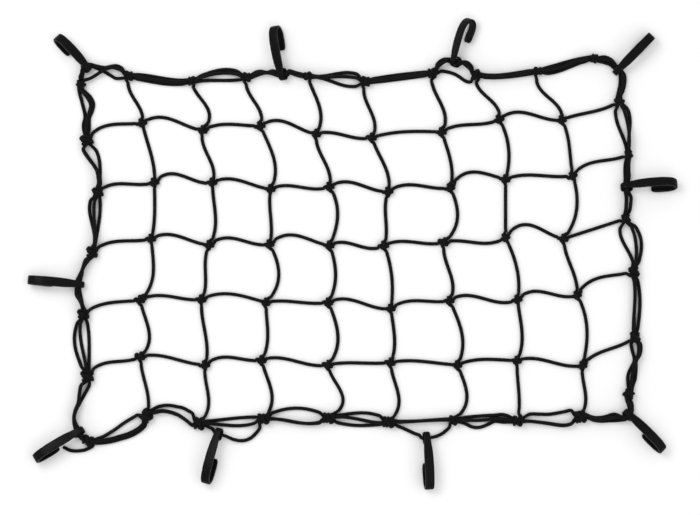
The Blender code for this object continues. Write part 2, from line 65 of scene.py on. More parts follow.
def addCamera():
    data = bpy.data.cameras.new("camera")
    data.sensor_width = cameraSet["sensor"]
    data.lens = cameraSet["sensor"] * cameraSet["height"] / cameraSet["width"]
    camera = newObject("camera", data)
    camera.location = (*cameraSet["centre"], cameraSet["height"])
    bpy.context.scene.camera = camera


addCamera()
print("camera placed")


# Small helpers for paths.

elasticCord = {"radius": 2.95, "spacing": 3.2, "bendSpacing": 7.0, "sides": 10,
               "endTaper": (0.98, 0.9, 0.7, 0.4), "endStep": 0.55}


def spot(x, y, z=0.0):
    return np.array((x - tableCentre[0], y - tableCentre[1], z))


def unit(vector):
    return vector / max(np.linalg.norm(vector), 1e-9)


def leftOf(vector):
    return unit(np.array((-vector[1], vector[0], 0.0)))


# A smooth run through stations. The last column is how far apart its samples lie,
# and the columns between z and the last one are blended along the way.
def runThrough(stations):
    rows = np.asarray(stations, dtype=float)
    padded = np.vstack((2 * rows[0] - rows[1], rows, 2 * rows[-1] - rows[-2]))
    samples = []
    marks = []
    for first in range(len(rows) - 1):
        corners = padded[first:first + 4, :3]
        gaps = np.maximum(np.linalg.norm(np.diff(corners, axis=0), axis=1), 1e-6)
        t = np.concatenate(((0.0,), np.cumsum(np.sqrt(gaps))))
        spacing = (rows[first, -1] + rows[first + 1, -1]) / 2
        steps = max(1, int(round(gaps[1] / spacing)))
        marks.append(len(samples))
        for step in range(steps):
            share = step / steps
            now = t[1] + (t[2] - t[1]) * share
            level = [corners[k] + (corners[k + 1] - corners[k]) * (now - t[k]) / (t[k + 1] - t[k])
                     for k in range(3)]
            upper = [level[k] + (level[k + 1] - level[k]) * (now - t[k]) / (t[k + 2] - t[k])
                     for k in range(2)]
            point = upper[0] + (upper[1] - upper[0]) * (now - t[1]) / (t[2] - t[1])
            others = rows[first, 3:-1] + (rows[first + 1, 3:-1] - rows[first, 3:-1]) * share
            samples.append(np.concatenate((point, others)))
    marks.append(len(samples))
    samples.append(rows[-1, :-1])
    return np.array(samples), marks


# Rounds off both ends of a cord and keeps it above the floor.
def finishedRun(run):
    run = run.copy()
    run[:, 2] = np.maximum(run[:, 2], run[:, 3])
    taper = elasticCord["endTaper"]
    step = elasticCord["endStep"]
    for end, beside in ((0, 1), (-1, -2)):
        way = unit(run[end, :3] - run[beside, :3])
        tips = [np.append(run[end, :3] + way * step * (k + 1), run[end, 3] * share)
                for k, share in enumerate(taper)]
        run = np.vstack((tips[::-1], run)) if end == 0 else np.vstack((run, tips))
    return run


# Geometry Nodes: a cord of the right thickness along each path.

def cordTree():
    given = (("Paths", "Geometry"), ("Sides", "Int"), ("Sheath", "Material"))
    tree, given, made = newTree("cordAlongPath", "GeometryNodeTree", given, (("Cords", "Geometry"),))
    add = tree.nodes.new
    link = tree.links.new
    circle = add("GeometryNodeCurvePrimitiveCircle")
    circle.inputs["Radius"].default_value = 1.0
    link(given.outputs["Sides"], circle.inputs["Resolution"])
    around = add("GeometryNodeStoreNamedAttribute")  # where a point lies round the cord
    around.data_type = "FLOAT_VECTOR"
    around.inputs["Name"].default_value = "around"
    link(circle.outputs["Curve"], around.inputs["Geometry"])
    link(add("GeometryNodeInputPosition").outputs["Position"], around.inputs["Value"])
    along = add("GeometryNodeStoreNamedAttribute")  # how far along the cord it lies
    along.inputs["Name"].default_value = "along"
    link(given.outputs["Paths"], along.inputs["Geometry"])
    link(add("GeometryNodeSplineParameter").outputs["Length"], along.inputs["Value"])
    toMesh = add("GeometryNodeCurveToMesh")
    toMesh.inputs["Fill Caps"].default_value = True
    link(along.outputs["Geometry"], toMesh.inputs["Curve"])
    link(around.outputs["Geometry"], toMesh.inputs["Profile Curve"])
    link(add("GeometryNodeInputRadius").outputs["Radius"], toMesh.inputs["Scale"])
    smooth = add("GeometryNodeSetShadeSmooth")
    link(toMesh.outputs["Mesh"], smooth.inputs["Geometry"])
    realize = add("GeometryNodeRealizeInstances")
    link(smooth.outputs["Geometry"], realize.inputs["Geometry"])
    dress = add("GeometryNodeSetMaterial")
    link(realize.outputs["Geometry"], dress.inputs["Geometry"])
    link(given.outputs["Sheath"], dress.inputs["Material"])
    link(dress.outputs["Geometry"], made.inputs["Cords"])
    return tree


cordTreeMade = cordTree()


def setInput(modifier, name, value):
    for item in modifier.node_group.interface.items_tree:
        if item.name == name and item.in_out == "INPUT":
            modifier[item.identifier] = value


def asMesh(thing, name):
    bpy.context.view_layer.update()
    graph = bpy.context.evaluated_depsgraph_get()
    evaluated = thing.evaluated_get(graph)
    mesh = bpy.data.meshes.new_from_object(evaluated, preserve_all_data_layers=True, depsgraph=graph)
    thing.modifiers.clear()
    bpy.data.objects.remove(thing, do_unlink=True)
    mesh.name = name
    return newObject(name, mesh)


def sweptCords(name, runs, sides, material):
    curve = bpy.data.curves.new(name + "Paths", "CURVE")
    curve.dimensions = "3D"
    for run in runs:
        spline = curve.splines.new("POLY")
        spline.points.add(len(run) - 1)
        places = np.column_stack((run[:, :3] * millimetre, np.ones(len(run))))
        spline.points.foreach_set("co", places.ravel())
        spline.points.foreach_set("radius", run[:, 3] * millimetre)
    holder = newObject(name + "Paths", curve)
    sweep = holder.modifiers.new("cordAlongPath", "NODES")
    sweep.node_group = cordTreeMade
    setInput(sweep, "Sides", sides)
    setInput(sweep, "Sheath", material)
    piece = asMesh(holder, name)
    triangles = sum(len(face.vertices) - 2 for face in piece.data.polygons)
    print(name, "made of", len(runs), "runs,", triangles, "triangles")
    return piece


# Materials.

def plug(tree, target, source):
    if isinstance(source, bpy.types.NodeSocket):
        tree.links.new(source, target)
    else:
        target.default_value = source


def calc(tree, operation, first, second=None, third=None):
    node = tree.nodes.new("ShaderNodeMath")
    node.operation = operation
    for socket, value in zip(node.inputs, (first, second, third)):
        if value is not None:
            plug(tree, socket, value)
    return node.outputs["Value"]


def spread(tree, value, low, high, newLow, newHigh):
    node = tree.nodes.new("ShaderNodeMapRange")
    given = (("Value", value), ("From Min", low), ("From Max", high), ("To Min", newLow), ("To Max", newHigh))
    for name, item in given:
        plug(tree, node.inputs[name], item)
    return node.outputs["Result"]


def noise(tree, place, scale, detail):
    node = tree.nodes.new("ShaderNodeTexNoise")
    plug(tree, node.inputs["Vector"], place)
    plug(tree, node.inputs["Scale"], scale)
    plug(tree, node.inputs["Detail"], detail)
    return node.outputs["Fac"]


yarnShape = {"edge": 0.6, "crown": 0.45, "level": 0.55, "fineStrands": 5, "fineHeight": 0.09,
             "valley": (0.15, 0.6)}


# Two sets of yarns that wind round the cord opposite ways and pass over and under each other.
def braidGroup():
    given = (("Around", "Vector"), ("Along", "Float"), ("Carriers", "Float"), ("Pitch", "Float"))
    made = (("Height", "Float"), ("Valley", "Float"), ("Yarn", "Float"))
    tree, given, made = newTree("braidedSheath", "ShaderNodeTree", given, made)
    parts = tree.nodes.new("ShaderNodeSeparateXYZ")
    tree.links.new(given.outputs["Around"], parts.inputs["Vector"])
    angle = calc(tree, "ARCTAN2", parts.outputs["Y"], parts.outputs["X"])
    turn = calc(tree, "MULTIPLY", calc(tree, "DIVIDE", angle, 2 * math.pi), given.outputs["Carriers"])
    rise = calc(tree, "DIVIDE", given.outputs["Along"], given.outputs["Pitch"])
    sets = []
    for winding in (calc(tree, "ADD", turn, rise), calc(tree, "SUBTRACT", turn, rise)):
        across = calc(tree, "SINE", calc(tree, "MULTIPLY", calc(tree, "FRACT", winding), math.pi))
        fineTurn = calc(tree, "MULTIPLY", winding, 2 * math.pi * yarnShape["fineStrands"])
        sets.append({"edge": calc(tree, "POWER", across, yarnShape["edge"]),
                     "crown": calc(tree, "MULTIPLY_ADD", across, yarnShape["crown"], yarnShape["level"]),
                     "fine": calc(tree, "SINE", fineTurn), "number": calc(tree, "FLOOR", winding)})
    right, left = sets
    cells = calc(tree, "ADD", right["number"], left["number"])
    over = calc(tree, "GREATER_THAN", calc(tree, "FLOORED_MODULO", cells, 2.0), 0.5)
    under = calc(tree, "SUBTRACT", 1.0, over)

    def upper(first, second):  # what shows where the two sets cross
        return calc(tree, "ADD", calc(tree, "MULTIPLY", first, under), calc(tree, "MULTIPLY", second, over))

    yarns = upper(calc(tree, "MULTIPLY", left["edge"], right["crown"]),
                  calc(tree, "MULTIPLY", right["edge"], left["crown"]))
    fine = upper(left["fine"], right["fine"])
    plug(tree, made.inputs["Height"], calc(tree, "MULTIPLY_ADD", fine, yarnShape["fineHeight"], yarns))
    # Valley marks where the yarns dip. It roughens the sheath there and darkens its colour as painted shade.
    plug(tree, made.inputs["Valley"], spread(tree, yarns, *yarnShape["valley"], 1.0, 0.0))
    tone = tree.nodes.new("ShaderNodeTexWhiteNoise")
    tone.noise_dimensions = "1D"
    ownYarn = upper(left["number"], right["number"])
    plug(tree, tone.inputs["W"], calc(tree, "MULTIPLY_ADD", over, 57.3, ownYarn))  # keeps the two sets apart
    plug(tree, made.inputs["Yarn"], tone.outputs["Value"])
    return tree


dustLevels = {"patches": (0.45, 0.75), "specks": (0.70, 0.78)}  # where each starts to show, and shows fully


# Dust in patches, and fine lint specks over it.
def dustGroup():
    given = (("Place", "Vector"), ("Patches", "Float"), ("Specks", "Float"))
    made = (("Dust", "Float"), ("Lint", "Float"))
    tree, given, made = newTree("lintAndDust", "ShaderNodeTree", given, made)
    patches = noise(tree, given.outputs["Place"], given.outputs["Patches"], detail=4.0)
    plug(tree, made.inputs["Dust"], spread(tree, patches, *dustLevels["patches"], 0.0, 1.0))
    specks = noise(tree, given.outputs["Place"], given.outputs["Specks"], detail=2.0)
    plug(tree, made.inputs["Lint"], spread(tree, specks, *dustLevels["specks"], 0.0, 1.0))
    return tree


braidShade = braidGroup()
dustShade = dustGroup()


def startMaterial(name):
    material = bpy.data.materials.new(name)
    material.use_nodes = True
    tree = material.node_tree
    place = tree.nodes.new("ShaderNodeTexCoord").outputs["Object"]
    return material, tree, tree.nodes["Principled BSDF"], place


def placeGroup(tree, group, **values):
    node = tree.nodes.new("ShaderNodeGroup")
    node.node_tree = group
    for name, value in values.items():
        plug(tree, node.inputs[name], value)
    return node


def mixed(tree, share, first, second):
    node = tree.nodes.new("ShaderNodeMix")
    node.data_type = "RGBA"
    sockets = [socket for socket in node.inputs if socket.type == "RGBA"]
    plug(tree, node.inputs[0], share)
    plug(tree, sockets[0], first)
    plug(tree, sockets[1], second)
    return [socket for socket in node.outputs if socket.type == "RGBA"][0]


def attribute(tree, name, output):
    node = tree.nodes.new("ShaderNodeAttribute")
    node.attribute_name = name
    return node.outputs[output]


def addBump(tree, surface, finish, height):
    bump = tree.nodes.new("ShaderNodeBump")
    bump.inputs["Strength"].default_value = finish["bump"]
    bump.inputs["Distance"].default_value = finish["bumpDepth"]
    plug(tree, bump.inputs["Height"], height)
    plug(tree, surface.inputs["Normal"], bump.outputs["Normal"])


def sheathMaterial(name, finish):
    material, tree, surface, place = startMaterial(name)
    braid = placeGroup(tree, braidShade,
                       Around=attribute(tree, "around", "Vector"), Along=attribute(tree, "along", "Fac"),
                       Carriers=finish["carriers"], Pitch=finish["pitch"])
    dust = placeGroup(tree, dustShade,
                      Place=place, Patches=finish["dustPatches"], Specks=finish["lintSpecks"])
    yarn = mixed(tree, braid.outputs["Yarn"], finish["darkYarn"], finish["lightYarn"])
    # Painted shade: the braid's valleys are painted darker, where shade falls between the yarns.
    grooveShaded = mixed(tree, braid.outputs["Valley"], yarn, finish["grooveShade"])
    dusted = calc(tree, "MULTIPLY", dust.outputs["Dust"], finish["dustAmount"])
    dusty = mixed(tree, dusted, grooveShaded, finish["dust"])
    specked = calc(tree, "MULTIPLY", dust.outputs["Lint"], finish["lintAmount"])
    plug(tree, surface.inputs["Base Color"], mixed(tree, specked, dusty, finish["lint"]))
    rough = spread(tree, braid.outputs["Valley"], 0.0, 1.0, *finish["roughness"])
    plug(tree, surface.inputs["Roughness"], rough)
    surface.inputs["Specular IOR Level"].default_value = finish["specular"]
    surface.inputs["Sheen Weight"].default_value = finish["sheen"]
    surface.inputs["Sheen Roughness"].default_value = finish["sheenRoughness"]
    addBump(tree, surface, finish, braid.outputs["Height"])
    return material


nettingFinish = {
    "carriers": 8.0, "pitch": 0.0023, "bump": 0.7, "bumpDepth": 0.0004,
    "darkYarn": (0.0045, 0.0045, 0.0047, 1), "lightYarn": (0.0075, 0.0075, 0.0078, 1),
    # the groove colour is painted shade in the braid's valleys between the yarns
    "grooveShade": (0.0018, 0.0018, 0.0018, 1),
    "dust": (0.014, 0.0138, 0.0135, 1), "dustPatches": 60.0, "dustAmount": 0.25,
    "lint": (0.06, 0.06, 0.06, 1), "lintSpecks": 1400.0, "lintAmount": 0.25,
    "roughness": (0.62, 0.95), "specular": 0.06, "sheen": 0.004, "sheenRoughness": 0.5,
}
borderFinish = dict(nettingFinish, pitch=0.0025, darkYarn=(0.0048, 0.0048, 0.005, 1), dustPatches=45.0)
nettingSheath = sheathMaterial("nettingSheath", nettingFinish)
borderSheath = sheathMaterial("borderSheath", borderFinish)


hookFinish = {
    "body": (0.0028, 0.0028, 0.003, 1), "scuff": (0.03, 0.03, 0.03, 1), "specular": 0.075,
    "roughness": (0.3, 0.42), "cloud": 90.0,
    "grain": 2600.0, "grainRoughness": 0.06, "bump": 0.12, "bumpDepth": 0.0002,
    "edgeWear": 0.5, "wearScale": 260.0, "wearLevels": (0.5, 0.72), "specks": 900.0, "speckAmount": 0.25,
}


def hookMaterial(finish):
    material, tree, surface, place = startMaterial("hookPlastic")
    dust = placeGroup(tree, dustShade, Place=place, Patches=finish["cloud"], Specks=finish["specks"])
    grain = noise(tree, place, finish["grain"], detail=2.0)
    wear = noise(tree, place, finish["wearScale"], detail=4.0)
    patchy = spread(tree, wear, *finish["wearLevels"], 0.0, 1.0)
    rub = calc(tree, "MULTIPLY", attribute(tree, "edge", "Fac"), patchy)
    worn = calc(tree, "MULTIPLY", rub, finish["edgeWear"])
    marks = calc(tree, "MAXIMUM", worn, calc(tree, "MULTIPLY", dust.outputs["Lint"], finish["speckAmount"]))
    plug(tree, surface.inputs["Base Color"], mixed(tree, marks, finish["body"], finish["scuff"]))
    cloudy = spread(tree, dust.outputs["Dust"], 0.0, 1.0, *finish["roughness"])
    rough = calc(tree, "MULTIPLY_ADD", grain, finish["grainRoughness"], cloudy)
    plug(tree, surface.inputs["Roughness"], rough)
    surface.inputs["Specular IOR Level"].default_value = finish["specular"]
    addBump(tree, surface, finish, grain)
    return material


hookPlastic = hookMaterial(hookFinish)
print("materials made")


# The cut tail of the border cord, first of the cords.

cordTail = {"radius": 2.9, "spacing": 2.0, "sides": 16,
            "points": ((-430, -318, 4.0), (-441, -323, 2.8), (-454, -325, 2.8), (-466, -324, 2.8),
                       (-476, -319, 2.8))}


def tailRun():
    stations = [(*spot(*point), cordTail["radius"], cordTail["spacing"]) for point in cordTail["points"]]
    return runThrough(stations)[0]


tailPath = tailRun()
tail = sweptCords("cordTail", [finishedRun(tailPath)], cordTail["sides"], borderSheath)


# Where the knots and lashings are, and how the stretches between them bow.

meshKnots = (  # x and y, a line for each row of knots from the top, eight knots from the left
    ((-347, 216), (-247, 204), (-152, 211), (-60, 198), (32, 192), (147, 201), (242, 222), (345, 221)),
    ((-327, 118), (-231, 118), (-135, 107), (-38, 111), (59, 103), (161, 109), (252, 123), (363, 129)),
    ((-332, 25), (-236, 15), (-137, 16), (-38, 14), (52, 14), (151, 19), (252, 27), (348, 25)),
    ((-350, -76), (-249, -75), (-143, -80), (-40, -80), (63, -90), (160, -77), (272, -75), (370, -68)),
    ((-349, -169), (-243, -183), (-150, -175), (-40, -183), (63, -179), (173, -183), (271, -176),
     (379, -184)),
)

# How far a stretch bows to its left at one third and two thirds.
rowBows = (  # from left to right
    ((13, 8), (13, 6), (7, 4), (13, 6), (3, -2), (5, 4), (4, -1), (12, 4), (-1, -4)),
    ((8, 2), (14, 4), (9, 4), (4, -2), (10, 3), (9, 3), (20, 14), (5, 1), (9, 3)),
    ((9, 4), (10, 4), (11, 3), (16, 9), (4, -4), (5, 0), (-1, -7), (22, 12), (0, 0)),
    ((8, 5), (7, 2), (11, 8), (2, -1), (8, 1), (8, 3), (7, -3), (11, 2), (13, 8)),
    ((10, 3), (5, 1), (10, 4), (5, -1), (2, 0), (4, 2), (6, 4), (5, -1), (5, 0)),
)
columnBows = (  # from top to bottom
    ((-5, 2), (2, 4), (2, 3), (9, 13), (8, 14), (1, 6)),
    ((6, 16), (-3, 4), (4, 8), (-3, 2), (0, 4), (5, 12)),
    ((-3, 5), (9, 13), (-1, 2), (15, 17), (4, 7), (9, 15)),
    ((7, 12), (-2, 4), (12, 11), (9, 10), (12, 15), (12, 24)),
    ((-3, 6), (3, 7), (-3, 1), (6, 6), (4, 6), (8, 16)),
    ((0, 9), (5, 7), (14, 16), (0, 7), (10, 13), (14, 19)),
    ((-5, 4), (9, 9), (0, 0), (7, 8), (5, 8), (1, 3)),
    ((-9, 2), (4, 2), (12, 13), (-1, 3), (11, 10), (3, 8)),
)

lashings = (  # clockwise: name, x, y, half its width, length
    ("T1", -369, 293, 8.0, 14), ("T2", -265, 285, 7.5, 13), ("T3", -175, 291, 7.8, 14),
    ("T4", -74, 293, 6.8, 13), ("T5", 21, 284, 8.2, 15), ("T6", 131, 298, 8.0, 15),
    ("T7", 203, 295, 8.5, 15), ("T8", 305, 301, 6.7, 14), ("T9", 398, 322, 7.3, 12),
    ("R1", 439, 252, 7.8, 13), ("R2", 454.5, 164, 6.6, 13), ("R3", 450, 58, 7.3, 14.5),
    ("R4", 463, -30, 8.6, 17), ("R5", 465, -137, 8.3, 17), ("R6", 455, -231, 8.8, 15.5),
    ("B8", 375, -268, 10.3, 20), ("B7", 272, -275, 8.6, 17), ("B6", 166, -274, 8.2, 14),
    ("B5", 59, -277, 9.2, 20), ("B4", -40, -270.5, 9.0, 20), ("B3", -147, -271.5, 8.8, 20),
    ("B2", -253, -279, 10.6, 19), ("B1", -341, -268, 10.4, 18), ("L6", -436.5, -307.5, 8.4, 17),
    ("L5", -437, -201, 10.4, 19), ("L4", -443.5, -99, 9.8, 16), ("L3", -429, 3, 9.5, 18),
    ("L2", -420, 102, 9.0, 16), ("L1", -438, 188, 10.4, 17), ("L0", -448, 279, 7.8, 12),
)
tieName = "L6"
lashingLean = {"B1": 45.0, "L6": 16.0}  # degrees between a lashing and the line of its neighbours

# How far outward the three border cords lie at one third and two thirds of a stretch:
# the netting's edge cord, then the outer and the second round of the border cord.
edgeBows = {
    "T1": ((-6, -8), (3, 0), (-2, -4)), "T2": ((-1, -3), (12, 15), (8, 9)),
    "T4": ((-3, -10), (4, 12), (1, 5)), "T5": ((-3, -3), (4, 4), (0, 0)),
    "T7": ((-6.5, -5.5), (-2.5, -0.5), (-5, -3)), "T8": ((-7.5, -3), (3.5, 5), (-2.5, 1)),
    "R1": ((-9.3, -4), (13, 6.2), (7, 6)), "R2": ((-4, -1), (2.6, 7), (-0.7, -0.5)),
    "R3": ((-11.7, -1.6), (19, 16.7), (10.3, 9)), "R4": ((1.8, -0.5), (9.5, 8.4), (1.5, -0.6)),
    "B6": ((-1, 0), (27, 17), (-0.8, 0.3)),
    "B5": ((-12, -9), (8, 9), (1, -3)), "B4": ((-15, -15), (9, 3), (8.6, 3.2)),
    "B3": ((-4, -3), (34, 20), (9, 5)),
    "L5": ((-4.5, -6), (15, 17.5), (4.3, 8)),
    "L3": ((-4.8, -6.1), (0.5, 11), (-1.6, 3.6)),
}
# The points that the three cords go through where they do more than bow, or pass a corner.
cordRoutes = {
    "T3": (
        ((-158.5, 294), (-149.7, 297.3), (-140.9, 298.5), (-132, 296.7), (-104, 298.2), (-93.3, 294.6)),
        ((-158.5, 300), (-151.4, 301), (-140.9, 299), (-132, 301.7), (-104, 301.7), (-93.3, 298.2)),
        ((-158.5, 297), (-150.6, 299), (-140.9, 298.7), (-132, 299), (-104, 300), (-93.3, 296.4)),
    ),
    "T6": (
        ((146, 301), (158.3, 299.5), (168.3, 296.3), (176.8, 291.3), (183.7, 286.3), (189.9, 283.5),
         (195.3, 284.1)),
        ((139.1, 312), (145.2, 318.3), (152, 321), (181.4, 320.6), (189, 315.2), (196, 308.3)),
        ((141, 308.3), (147.5, 314), (154.5, 317.8), (181.4, 314), (187.6, 309), (193.7, 303.7)),
    ),
    "T9": (
        ((415.7, 315), (425, 311.7), (440, 298), (441, 289), (440.5, 278), (438.5, 269)),
        ((415.7, 324.6), (426.5, 319.7), (448, 294), (448.5, 282), (445.5, 269)),
        ((417, 320), (426.5, 317), (445, 290.4), (445, 280), (442, 269)),
    ),
    "R5": (
        ((459, -148), (460.5, -158), (463.8, -170), (464.2, -177), (459.7, -186.6), (455, -196.4),
         (453.5, -206.3), (454, -217)),
        ((473.5, -147), (475.3, -155), (473, -167), (467.4, -176), (467, -184.6), (466.8, -194.5),
         (465.6, -206.3), (461.6, -218)),
        ((469.6, -147), (471, -156), (469.7, -167), (465.4, -176.3), (463.4, -185.6), (461, -196.4),
         (459.7, -206.3), (458, -217)),
    ),
    "R6": (
        ((450, -246), (431, -264), (418, -268), (407.4, -270), (396, -269.3)),
        ((460, -246), (441.7, -274), (426, -275), (410, -275.7), (397, -274)),
        ((455, -246), (437, -268.5), (429, -269.5), (418, -271.3), (407, -272.8), (397, -272)),
    ),
    "B8": (
        ((360, -258), (350, -260), (339, -262.2), (323, -264.5), (307, -264.3), (291, -264.5)),
        ((360, -280.5), (349.3, -283), (339, -282.5), (323, -280), (307, -277.8), (291, -276)),
        ((360, -279.5), (349.3, -282), (339, -281.5), (323, -279.2), (307, -277.2), (291, -275.5)),
    ),
    "B7": (
        ((257, -267.5), (246.3, -265), (234.4, -266), (220, -266.7), (204, -267.8), (188, -269.3),
         (180, -270.5)),
        ((257, -277.3), (246.3, -277.3), (234.4, -276.2), (224, -280.7), (214.6, -284.7), (205.4, -286.5),
         (194.8, -284.7), (185.6, -280)),
        ((257, -272.8), (246.3, -271.5), (234.4, -271.5), (220, -273.6), (204, -274.6), (188, -274.1),
         (180, -273.6)),
    ),
    "B2": (
        ((-264, -263.5), (-273, -257.5), (-281, -253.7), (-289.4, -252), (-300, -250), (-311.4, -250),
         (-321, -252), (-328, -255.5)),
        ((-264, -283), (-271, -277.5), (-278.4, -272), (-287, -266.5), (-296, -263), (-306, -260.5),
         (-315.8, -259.7), (-326, -262)),
        ((-265, -281.5), (-272, -276), (-279.4, -270.5), (-288, -265), (-297, -261.5), (-307, -259),
         (-316, -258.3), (-326, -260.5)),
    ),
    "B1": (
        ((-353, -265.5), (-364.2, -271), (-377.4, -279), (-390.6, -288.6), (-403.8, -297), (-412.5, -301.6),
         (-421, -304.5)),
        ((-341.5, -281.5), (-347.6, -289), (-354, -293.6), (-361.2, -297.9), (-369.5, -301.5),
         (-378.3, -304.2), (-399.9, -310), (-417.3, -312)),
        ((-345.5, -280), (-351, -285.5), (-356.5, -289.5), (-363.8, -293.5), (-371.5, -296.9),
         (-379.8, -299.4), (-400.9, -305.4), (-417.8, -307.7)),
    ),
    "L4": (
        ((-445.3, -84.4), (-447, -76), (-448.6, -68), (-450.6, -59.6), (-449.5, -43), (-446.7, -35),
         (-445, -25), (-441.5, -18.4), (-434.5, -9.5)),
        ((-446.3, -84.4), (-450, -76), (-455.2, -68), (-456.7, -59.6), (-455, -43), (-450, -35),
         (-445.2, -25), (-443.4, -18.4), (-440.3, -10)),
        ((-445.8, -84.4), (-448.6, -76), (-452, -68), (-453.6, -59.6), (-452, -43), (-448.3, -35),
         (-445, -25), (-442.5, -18.4), (-437.5, -9.8)),
    ),
    "L6": (
        ((-459, -272), (-456.5, -258.7), (-449.8, -245.5), (-441.5, -230), (-434.5, -217)),
        ((-459.5, -272), (-457.5, -258.7), (-452.4, -245.5), (-450.6, -230), (-448, -217)),
        ((-458.9, -272), (-456.9, -258.7), (-451.6, -245.5), (-449.8, -230), (-447.2, -217)),
    ),
    "L2": (
        ((-416, 115.3), (-416.6, 127), (-416.6, 138.4), (-417.3, 150), (-419.4, 160.7), (-423.2, 170.6)),
        ((-419, 115.3), (-419.6, 127), (-422.2, 137.6), (-427.7, 146.7), (-434, 155), (-440, 163.2),
         (-444.4, 172.4)),
        ((-418, 115.3), (-418.6, 127), (-421.2, 137.6), (-426.7, 147), (-433, 155.5), (-439, 163.7),
         (-443.5, 172.8)),
    ),
    "L1": (
        ((-434.5, 206), (-434.6, 215), (-434.2, 224.2), (-429.5, 236), (-427.5, 247), (-432.5, 258.5),
         (-440.5, 266.5)),
        ((-443.5, 205), (-444, 213.2), (-441.5, 226.5), (-446.5, 250), (-450.5, 266)),
        ((-439, 206), (-438.5, 214), (-437, 224), (-433.5, 236), (-432, 246), (-437, 257), (-444, 266)),
    ),
    "L0": (
        ((-446, 290), (-418.6, 304.5), (-409.8, 300.5), (-399.3, 294.3), (-390.5, 289.4)),
        ((-449, 291), (-446.5, 298), (-420.4, 309), (-408, 307), (-399.3, 309), (-389.6, 310.2),
         (-380.5, 306)),
        ((-442, 286), (-432.7, 289), (-422.2, 295.2), (-413.4, 300.5), (-404.6, 305), (-395.8, 307),
         (-386, 304.5), (-379.5, 300.8)),
    ),
}


def readPlaces():
    places = {}
    for index, (name, x, y, half, length) in enumerate(lashings):
        before = lashings[index - 1]
        after = lashings[(index + 1) % len(lashings)]
        along = unit(spot(after[1], after[2]) - spot(before[1], before[2]))
        along = np.array(Matrix.Rotation(math.radians(lashingLean.get(name, 0.0)), 3, "Z") @ Vector(along))
        places[name] = {"centre": spot(x, y), "along": along, "outward": leftOf(along),
                        "half": half, "length": length}
    return places


places = readPlaces()


# The offset of a bowed stretch: its values at 0, 1/3, 2/3 and 1, and a smooth line through them.
def bowAt(values, t):
    start, third, twoThirds, end = values
    total = -4.5 * (t - 1 / 3) * (t - 2 / 3) * (t - 1) * start
    total += 13.5 * t * (t - 2 / 3) * (t - 1) * third
    total -= 13.5 * t * (t - 1 / 3) * (t - 1) * twoThirds
    return total + 4.5 * t * (t - 1 / 3) * (t - 2 / 3) * end


def bowedPoint(start, end, bows, t, ends=(0.0, 0.0)):
    return start + (end - start) * t + leftOf(end - start) * bowAt((ends[0], *bows, ends[1]), t)


def lyingAt(point):
    return (point[0], point[1], elasticCord["radius"], elasticCord["radius"], elasticCord["spacing"])


def bowedStations(start, end, bows, clear, ends=(0.0, 0.0)):
    count = max(4, int(np.linalg.norm(end - start) / elasticCord["bendSpacing"]))
    found = []
    for step in range(1, count):
        point = bowedPoint(start, end, bows, step / count, ends)
        if np.linalg.norm(point - start) > clear[0] and np.linalg.norm(point - end) > clear[1]:
            found.append(lyingAt(point))
    return found


# Hooks: a moulded strip, bent into a J with a closed eye at its other end.

hookSizes = {"length": 93.7, "height": 27.0, "thickness": 4.5, "bendReach": 21.5, "bendWidth": 14.7,
             "eyeLength": 20.5, "eyeHeight": 18.0, "eyeWall": 3.0, "eyeWidth": 10.0,
             "cornerRadius": 1.25, "crown": 0.22, "roundest": 0.45, "cornerSteps": 4, "bendSteps": 8,
             "endTaper": (0.72, 0.9, 0.97), "spacing": 1.7}
crownShares = (0.85, 0.4, -0.4, -0.85)  # where the crowned faces have points between their corners

hookReturn = (  # x, z, width, thickness from the tip to the bend
    (51.0, 2.1, 12.4, 3.0), (53.5, 2.2, 14.4, 4.0), (60.0, 2.25, 15.3, 4.5), (67.0, 2.25, 15.3, 4.5),
)
hookShank = (  # from the bend to the eye and round it
    (66.0, 24.8, 15.2, 4.5), (55.0, 23.9, 15.4, 4.4), (42.0, 22.1, 15.4, 4.3), (30.0, 19.9, 14.8, 4.0),
    (19.0, 17.6, 12.6, 3.6), (10.0, 16.4, 10.6, 3.2), (4.6, 15.1, 10.0, 3.0), (1.8, 12.0, 10.0, 3.0),
    (1.5, 7.6, 10.0, 3.0), (3.2, 3.2, 10.0, 3.0), (8.0, 1.6, 10.0, 3.0), (13.6, 1.7, 10.0, 3.0),
    (17.7, 3.6, 10.0, 3.0), (19.1, 7.6, 10.0, 3.0), (19.0, 11.6, 10.0, 3.0), (18.6, 14.9, 9.4, 2.6),
)


def hookCentreLine():
    bend = []
    half = hookSizes["thickness"] / 2
    middle = hookSizes["height"] / 2
    start = hookSizes["length"] - hookSizes["bendReach"]
    for angle in np.linspace(-90, 90, hookSizes["bendSteps"] + 1):
        x = start + (hookSizes["bendReach"] - half) * math.cos(math.radians(angle))
        z = middle + (middle - half) * math.sin(math.radians(angle))
        bend.append((x, z, hookSizes["bendWidth"], hookSizes["thickness"]))
    stations = [(x, 0.0, z, width, thickness, hookSizes["spacing"])
                for x, z, width, thickness in (*hookReturn, *bend, *hookShank)]
    return runThrough(stations)[0]


# Round the strip's section: across, out, and 1 on the rounded corners, which wear first.
def stripSection(width, thickness):
    radius = min(hookSizes["cornerRadius"], thickness * hookSizes["roundest"])
    crown = hookSizes["crown"]
    points = []
    for sideways, upward, start in ((1, 1, 0), (-1, 1, 90), (-1, -1, 180), (1, -1, 270)):
        middleAcross = sideways * (width / 2 - radius)
        middleOut = upward * (thickness / 2 - radius)
        for step in range(hookSizes["cornerSteps"] + 1):
            angle = math.radians(start + 90 / hookSizes["cornerSteps"] * step)
            across = middleAcross + radius * math.cos(angle)
            points.append((across, middleOut + radius * math.sin(angle), 1.0))
        if start in (0, 180):
            for share in crownShares:
                across = share * (width / 2 - radius) * sideways
                points.append((across, upward * (thickness / 2 + crown * (1 - share * share)), 0.0))
    return points


